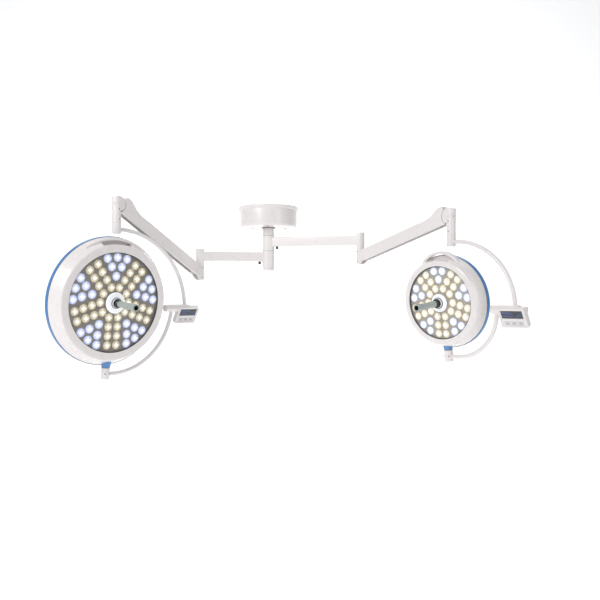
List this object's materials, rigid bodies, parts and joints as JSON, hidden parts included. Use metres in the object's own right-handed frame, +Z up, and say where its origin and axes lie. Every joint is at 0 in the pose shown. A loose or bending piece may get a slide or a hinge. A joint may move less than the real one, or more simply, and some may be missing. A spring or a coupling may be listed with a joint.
{
  "type": "ceiling surgical light",
  "caption": "Ceiling-mounted surgical light with round LED heads on stacked extension arms, balanced spring arms and quarter-circle yokes, each with a tilting control panel.",
  "frame": {"origin": "centre of the ceiling plate's upper face, on the column's axis", "axes": "+Z up towards the ceiling, +X towards the satellite lamp's side, +Y to the back, away from the lit faces' side"},
  "size_m": [2.4185, 1.1934, 1.0119],
  "materials": {
    "white_enamel": "gloss",
    "white_column": "gloss",
    "head_white": "gloss",
    "panel_white": "satin",
    "boss_white": "gloss",
    "blue_trim": "gloss",
    "taupe_panel": "satin",
    "cool_lens": "clear",
    "warm_lens": "clear",
    "clear_glass": "clear",
    "display_glass": "dark",
    "key_plastic": "satin",
    "grip_plastic": "satin",
    "grey_link": "satin",
    "grey_case": "satin",
    "steel": "satin",
    "dark_steel": "satin",
    "spring_steel": "satin",
    "aluminium": "satin",
    "bearing_plastic": "matte"
  },
  "bodies": {
    "ceiling_mount": {"ceiling_plate": "steel", "canopy": "white_enamel", "canopy_screws": "steel", "column": "white_column", "column_bolts": "steel", "column_cap": "white_enamel", "hub_bushes": "bearing_plastic", "power_supply": "grey_case"},
    "main_extension_arm_body": {"main_extension_arm": "white_enamel", "main_brake_screws": "dark_steel"},
    "main_elbow_body": {"main_elbow_knuckle": "white_enamel"},
    "main_spring_arm_body": {"main_spring_arm_shell": "white_enamel", "main_balance_spring": "spring_steel", "main_spring_seats": "steel"},
    "main_link_body": {"main_parallel_link": "grey_link"},
    "main_drop_body": {"main_drop_knuckle": "white_enamel"},
    "main_upper_yoke_body": {"main_upper_yoke": "white_enamel", "main_control_case": "panel_white", "main_control_screen": "display_glass"},
    "main_lower_yoke_body": {"main_lower_yoke": "white_enamel"},
    "main_head_body": {"main_pivot_collar": "blue_trim", "main_rear_cover": "head_white", "main_rim_ring": "blue_trim", "main_front_shell": "head_white", "main_reflector_panel": "taupe_panel", "main_led_board": "aluminium", "main_cool_lenses": "cool_lens", "main_warm_lenses": "warm_lens", "main_front_glass": "clear_glass", "main_centre_boss": "boss_white"},
    "main_grip_body": {"main_sterile_grip": "grip_plastic"},
    "main_key_dim_body": {"main_key_dim": "key_plastic"},
    "main_key_light_body": {"main_key_light": "key_plastic"},
    "main_key_bright_body": {"main_key_bright": "key_plastic"},
    "satellite_extension_arm_body": {"satellite_extension_arm": "white_enamel", "satellite_brake_screws": "dark_steel"},
    "satellite_elbow_body": {"satellite_elbow_knuckle": "white_enamel"},
    "satellite_spring_arm_body": {"satellite_spring_arm_shell": "white_enamel", "satellite_balance_spring": "spring_steel", "satellite_spring_seats": "steel"},
    "satellite_link_body": {"satellite_parallel_link": "grey_link"},
    "satellite_drop_body": {"satellite_drop_knuckle": "white_enamel"},
    "satellite_upper_yoke_body": {"satellite_upper_yoke": "white_enamel", "satellite_control_case": "panel_white", "satellite_control_screen": "display_glass"},
    "satellite_lower_yoke_body": {"satellite_lower_yoke": "white_enamel"},
    "satellite_head_body": {"satellite_pivot_collar": "blue_trim", "satellite_rear_cover": "head_white", "satellite_rim_ring": "blue_trim", "satellite_front_shell": "head_white", "satellite_reflector_panel": "taupe_panel", "satellite_led_board": "aluminium", "satellite_cool_lenses": "cool_lens", "satellite_warm_lenses": "warm_lens", "satellite_front_glass": "clear_glass", "satellite_centre_boss": "boss_white"},
    "satellite_grip_body": {"satellite_sterile_grip": "grip_plastic"},
    "satellite_key_dim_body": {"satellite_key_dim": "key_plastic"},
    "satellite_key_light_body": {"satellite_key_light": "key_plastic"},
    "satellite_key_bright_body": {"satellite_key_bright": "key_plastic"}
  },
  "joints": [
    {"name": "main_extension_swing", "type": "hinge", "parent": "ceiling_mount", "child": "main_extension_arm_body", "pos_m": [0, 0, -0.312], "axis": [0, 0, 1], "range_deg": [-150, 50]},
    {"name": "main_elbow_swing", "type": "hinge", "parent": "main_extension_arm_body", "child": "main_elbow_body", "pos_m": [-0.416, -0.092, -0.381], "axis": [0, 0, 1], "range_deg": [-100, 90]},
    {"name": "main_arm_pitch", "type": "hinge", "parent": "main_elbow_body", "child": "main_spring_arm_body", "pos_m": [-0.416, -0.092, -0.415], "axis": [-0.7888, 0.6147, 0], "range_deg": [-75, 0.5]},
    {"name": "main_link_pitch", "type": "hinge", "parent": "main_elbow_body", "child": "main_link_body", "pos_m": [-0.416, -0.092, -0.443], "axis": [-0.7888, 0.6147, 0], "range_deg": [-75, 0.5]},
    {"name": "main_drop_level", "type": "hinge", "parent": "main_spring_arm_body", "child": "main_drop_body", "pos_m": [-0.79751, -0.58154, -0.06], "axis": [-0.7888, 0.6147, 0], "range_deg": [-0.5, 75]},
    {"name": "main_yoke_swivel", "type": "hinge", "parent": "main_drop_body", "child": "main_upper_yoke_body", "pos_m": [-0.79751, -0.58154, -0.221], "axis": [0, 0, 1], "range_deg": [-170, 170]},
    {"name": "main_head_tilt", "type": "hinge", "parent": "main_upper_yoke_body", "child": "main_lower_yoke_body", "pos_m": [-0.53017, -0.29485, -0.628], "axis": [0.682, 0.7314, 0], "range_deg": [-135, 135]},
    {"name": "main_head_turn", "type": "hinge", "parent": "main_lower_yoke_body", "child": "main_head_body", "pos_m": [-0.85597, -0.58309, -0.94477], "axis": [0.0955, -0.089, 0.9914], "range_deg": [-120, 120]},
    {"name": "main_grip_focus", "type": "hinge", "parent": "main_head_body", "child": "main_grip_body", "pos_m": [-0.76674, -0.6663, -0.60025], "axis": [0.7251, -0.6762, -0.1305], "range_deg": [-45, 45]},
    {"name": "main_key_dim_press", "type": "slide", "parent": "main_upper_yoke_body", "child": "main_key_dim_body", "axis": [-0.6334, 0.5906, 0.5], "range_m": [0, 0.0008], "stiffness_N_per_m": 400},
    {"name": "main_key_light_press", "type": "slide", "parent": "main_upper_yoke_body", "child": "main_key_light_body", "axis": [-0.6334, 0.5906, 0.5], "range_m": [0, 0.0008], "stiffness_N_per_m": 400},
    {"name": "main_key_bright_press", "type": "slide", "parent": "main_upper_yoke_body", "child": "main_key_bright_body", "axis": [-0.6334, 0.5906, 0.5], "range_m": [0, 0.0008], "stiffness_N_per_m": 400},
    {"name": "satellite_extension_swing", "type": "hinge", "parent": "ceiling_mount", "child": "satellite_extension_arm_body", "pos_m": [0, 0, -0.218], "axis": [0, 0, 1], "range_deg": [-50, 150]},
    {"name": "satellite_elbow_swing", "type": "hinge", "parent": "satellite_extension_arm_body", "child": "satellite_elbow_body", "pos_m": [0.566, -0.129, -0.285], "axis": [0, 0, 1], "range_deg": [-90, 100]},
    {"name": "satellite_arm_pitch", "type": "hinge", "parent": "satellite_elbow_body", "child": "satellite_spring_arm_body", "pos_m": [0.566, -0.129, -0.319], "axis": [-0.7793, -0.6266, 0], "range_deg": [-60, 8]},
    {"name": "satellite_link_pitch", "type": "hinge", "parent": "satellite_elbow_body", "child": "satellite_link_body", "pos_m": [0.566, -0.129, -0.347], "axis": [-0.7793, -0.6266, 0], "range_deg": [-60, 8]},
    {"name": "satellite_drop_level", "type": "hinge", "parent": "satellite_spring_arm_body", "child": "satellite_drop_body", "pos_m": [0.9991, -0.66767, -0.136], "axis": [-0.7793, -0.6266, 0], "range_deg": [-8, 60]},
    {"name": "satellite_yoke_swivel", "type": "hinge", "parent": "satellite_drop_body", "child": "satellite_upper_yoke_body", "pos_m": [0.9991, -0.66767, -0.297], "axis": [0, 0, 1], "range_deg": [-170, 170]},
    {"name": "satellite_head_tilt", "type": "hinge", "parent": "satellite_upper_yoke_body", "child": "satellite_lower_yoke_body", "pos_m": [1.19483, -0.87756, -0.628], "axis": [0.682, -0.7314, 0], "range_deg": [-135, 135]},
    {"name": "satellite_head_turn", "type": "hinge", "parent": "satellite_lower_yoke_body", "child": "satellite_head_body", "pos_m": [0.99448, -0.6207, -0.84562], "axis": [-0.0955, -0.089, 0.9914], "range_deg": [-120, 120]},
    {"name": "satellite_grip_focus", "type": "hinge", "parent": "satellite_head_body", "child": "satellite_grip_body", "pos_m": [0.91479, -0.69501, -0.60025], "axis": [-0.7251, -0.6762, -0.1305], "range_deg": [-45, 45]},
    {"name": "satellite_key_dim_press", "type": "slide", "parent": "satellite_upper_yoke_body", "child": "satellite_key_dim_body", "axis": [0.6334, 0.5906, 0.5], "range_m": [0, 0.0008], "stiffness_N_per_m": 400},
    {"name": "satellite_key_light_press", "type": "slide", "parent": "satellite_upper_yoke_body", "child": "satellite_key_light_body", "axis": [0.6334, 0.5906, 0.5], "range_m": [0, 0.0008], "stiffness_N_per_m": 400},
    {"name": "satellite_key_bright_press", "type": "slide", "parent": "satellite_upper_yoke_body", "child": "satellite_key_bright_body", "axis": [0.6334, 0.5906, 0.5], "range_m": [0, 0.0008], "stiffness_N_per_m": 400}
  ],
  "couplings": [
    {"joint": "main_link_pitch", "follows": "main_arm_pitch", "ratio": 1},
    {"joint": "main_drop_level", "follows": "main_arm_pitch", "ratio": -1},
    {"joint": "satellite_link_pitch", "follows": "satellite_arm_pitch", "ratio": 1},
    {"joint": "satellite_drop_level", "follows": "satellite_arm_pitch", "ratio": -1}
  ]
}
